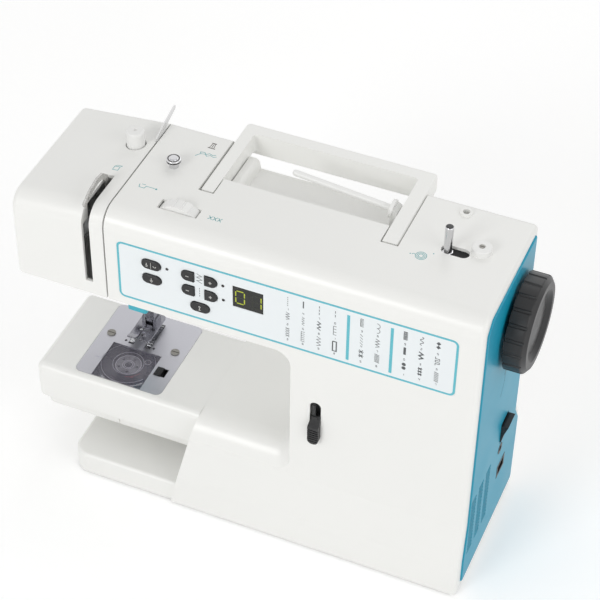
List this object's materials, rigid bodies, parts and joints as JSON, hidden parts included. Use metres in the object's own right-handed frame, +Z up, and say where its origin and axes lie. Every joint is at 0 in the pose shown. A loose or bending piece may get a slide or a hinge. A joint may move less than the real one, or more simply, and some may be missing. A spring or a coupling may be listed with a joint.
{
  "type": "sewing machine",
  "caption": "Electronic household sewing machine with free arm, key panel, digit display, folding top handle, spool recess, drop-in bobbin, presser foot and side handwheel.",
  "frame": {"origin": "middle of the bounding box's footprint, on the table under the rubber feet", "axes": "+X along the arm towards the handwheel, +Y from the operator to the back, +Z up"},
  "size_m": [0.376, 0.1414, 0.297],
  "materials": {
    "shell": "satin",
    "teal": "satin",
    "black": "satin",
    "steel": "brushed",
    "chrome": "polished",
    "casting": "cast",
    "rubber": "matte",
    "grey": "satin",
    "panel": "satin",
    "display": "gloss",
    "lamp": "gloss",
    "board": "satin",
    "smoke": "clear",
    "lens": "frosted",
    "clear_bobbin": "gloss",
    "motor_paint": "satin"
  },
  "bodies": {
    "machine": {"front_cover": "shell", "rear_cover": "shell", "head_cover": "shell", "base_pan": "shell", "free_arm": "shell", "spool_pin": "grey", "side_cover": "teal", "rubber_feet": "rubber", "motor_belt": "rubber", "timing_belt": "rubber", "needle_plate": "steel", "plate_screws": "steel", "cover_screws": "steel", "tension_unit": "steel", "handle_pins": "steel", "rear_thread_guide": "steel", "winder_guide": "chrome", "chassis": "casting", "panel_overlay": "panel", "display_module": "display", "indicator_leds": "lamp", "control_board": "board", "lamp_lens": "lens", "motor": "motor_paint", "bobbin_case": "black", "winder_stop": "shell", "socket_block": "black"},
    "upper_shaft": {"main_shaft": "steel", "crank_disc": "steel", "shaft_pulleys": "casting", "handwheel": "black"},
    "rotor": {"motor_pulley": "steel"},
    "lower_drive": {"lower_shaft": "steel"},
    "hook": {"rotary_hook": "steel"},
    "bobbin_spool": {"bobbin": "clear_bobbin"},
    "needle_group": {"needle_bar": "steel", "needle": "steel"},
    "take_up": {"take_up_lever": "steel"},
    "lifter": {"presser_lifter": "black"},
    "presser": {"presser_bar": "steel", "presser_ankle": "steel"},
    "foot": {"presser_foot": "steel"},
    "feed": {"feed_dog": "steel"},
    "cover": {"bobbin_cover": "smoke"},
    "latch": {"cover_latch": "black"},
    "dial": {"tension_dial": "shell"},
    "knob": {"pressure_knob": "grey"},
    "grip": {"handle": "shell"},
    "winder": {"winder_carrier": "black"},
    "spindle": {"winder_spindle": "chrome"},
    "reverse": {"reverse_lever": "black"},
    "rocker": {"power_switch": "black"},
    "threader": {"needle_threader": "teal"},
    "mode_key_body": {"mode_key": "black"},
    "needle_key_body": {"needle_key": "black"},
    "select_key_body": {"select_key": "black"},
    "width_minus_key_body": {"width_minus_key": "black"},
    "width_plus_key_body": {"width_plus_key": "black"},
    "length_minus_key_body": {"length_minus_key": "black"},
    "length_plus_key_body": {"length_plus_key": "black"}
  },
  "joints": [
    {"name": "handwheel_turn", "type": "hinge", "parent": "machine", "child": "upper_shaft", "pos_m": [0, 0.00475, 0.223], "axis": [1, 0, 0], "continuous": true},
    {"name": "motor_spin", "type": "hinge", "parent": "machine", "child": "rotor", "pos_m": [0.13, -0.03125, 0.048], "axis": [1, 0, 0], "continuous": true},
    {"name": "lower_shaft_spin", "type": "hinge", "parent": "machine", "child": "lower_drive", "pos_m": [0, 0.00195, 0.0565], "axis": [1, 0, 0], "continuous": true},
    {"name": "hook_spin", "type": "hinge", "parent": "machine", "child": "hook", "pos_m": [-0.1258, -0.02045, 0.07], "axis": [0, 0, 1], "continuous": true},
    {"name": "bobbin_spin", "type": "hinge", "parent": "machine", "child": "bobbin_spool", "pos_m": [-0.1258, -0.02045, 0.077], "axis": [0, 0, 1], "continuous": true},
    {"name": "needle_bar_slide", "type": "slide", "parent": "machine", "child": "needle_group", "axis": [0, 0, 1], "range_m": [-0.024, 0]},
    {"name": "take_up_swing", "type": "hinge", "parent": "machine", "child": "take_up", "pos_m": [-0.1283, -0.01525, 0.236], "axis": [1, 0, 0], "range_deg": [0, 40]},
    {"name": "lifter_turn", "type": "hinge", "parent": "machine", "child": "lifter", "pos_m": [-0.132, 0.03725, 0.212], "axis": [0, 1, 0], "range_deg": [-45, 0]},
    {"name": "presser_slide", "type": "slide", "parent": "machine", "child": "presser", "axis": [0, 0, 1], "range_m": [-0.0048, 0]},
    {"name": "foot_tilt", "type": "hinge", "parent": "presser", "child": "foot", "pos_m": [-0.1235, 0.01725, 0.1022], "axis": [1, 0, 0], "range_deg": [-5, 2]},
    {"name": "feed_slide", "type": "slide", "parent": "machine", "child": "feed", "axis": [0, 1, 0], "range_m": [-0.0012, 0.0012]},
    {"name": "bobbin_cover_lift", "type": "slide", "parent": "machine", "child": "cover", "axis": [0, 0, 1], "range_m": [0, 0.025]},
    {"name": "cover_latch_slide", "type": "slide", "parent": "machine", "child": "latch", "axis": [1, 0, 0], "range_m": [0, 0.003], "stiffness_N_per_m": 150, "springref_m": -0.002},
    {"name": "tension_dial_turn", "type": "hinge", "parent": "machine", "child": "dial", "pos_m": [-0.067, -0.03825, 0.262], "axis": [0, 1, 0], "range_deg": [-150, 150]},
    {"name": "pressure_knob_press", "type": "slide", "parent": "machine", "child": "knob", "axis": [0, 0, -1], "range_m": [0, 0.005], "stiffness_N_per_m": 200, "springref_m": -0.004},
    {"name": "handle_fold", "type": "hinge", "parent": "machine", "child": "grip", "pos_m": [0, -0.00625, 0.2722], "axis": [1, 0, 0], "range_deg": [0, 95]},
    {"name": "winder_shift", "type": "slide", "parent": "machine", "child": "winder", "axis": [1, 0, 0], "range_m": [0, 0.011]},
    {"name": "winder_spin", "type": "hinge", "parent": "winder", "child": "spindle", "pos_m": [0.119, -0.00325, 0.28], "axis": [0, 0, 1], "continuous": true},
    {"name": "reverse_press", "type": "slide", "parent": "machine", "child": "reverse", "axis": [0, 0, -1], "range_m": [0, 0.011], "stiffness_N_per_m": 150, "springref_m": -0.008},
    {"name": "switch_rock", "type": "hinge", "parent": "machine", "child": "rocker", "pos_m": [0.1675, 0.01175, 0.106], "axis": [0, 1, 0], "range_deg": [-16, 0]},
    {"name": "threader_slide", "type": "slide", "parent": "machine", "child": "threader", "axis": [0, 0, -1], "range_m": [0, 0.0235], "stiffness_N_per_m": 40, "springref_m": -0.015},
    {"name": "mode_key_press", "type": "slide", "parent": "machine", "child": "mode_key_body", "axis": [0, 1, 0], "range_m": [0, 0.001], "stiffness_N_per_m": 300},
    {"name": "needle_key_press", "type": "slide", "parent": "machine", "child": "needle_key_body", "axis": [0, 1, 0], "range_m": [0, 0.001], "stiffness_N_per_m": 300},
    {"name": "select_key_press", "type": "slide", "parent": "machine", "child": "select_key_body", "axis": [0, 1, 0], "range_m": [0, 0.001], "stiffness_N_per_m": 300},
    {"name": "width_minus_key_press", "type": "slide", "parent": "machine", "child": "width_minus_key_body", "axis": [0, 1, 0], "range_m": [0, 0.001], "stiffness_N_per_m": 300},
    {"name": "width_plus_key_press", "type": "slide", "parent": "machine", "child": "width_plus_key_body", "axis": [0, 1, 0], "range_m": [0, 0.001], "stiffness_N_per_m": 300},
    {"name": "length_minus_key_press", "type": "slide", "parent": "machine", "child": "length_minus_key_body", "axis": [0, 1, 0], "range_m": [0, 0.001], "stiffness_N_per_m": 300},
    {"name": "length_plus_key_press", "type": "slide", "parent": "machine", "child": "length_plus_key_body", "axis": [0, 1, 0], "range_m": [0, 0.001], "stiffness_N_per_m": 300}
  ],
  "couplings": [
    {"joint": "motor_spin", "follows": "handwheel_turn", "ratio": 4.2857},
    {"joint": "lower_shaft_spin", "follows": "handwheel_turn", "ratio": 1},
    {"joint": "hook_spin", "follows": "handwheel_turn", "ratio": -0.5714},
    {"joint": "take_up_swing", "follows": "needle_bar_slide", "rad_per_m": -29.089},
    {"joint": "lifter_turn", "follows": "presser_slide", "rad_per_m": 163.62}
  ]
}
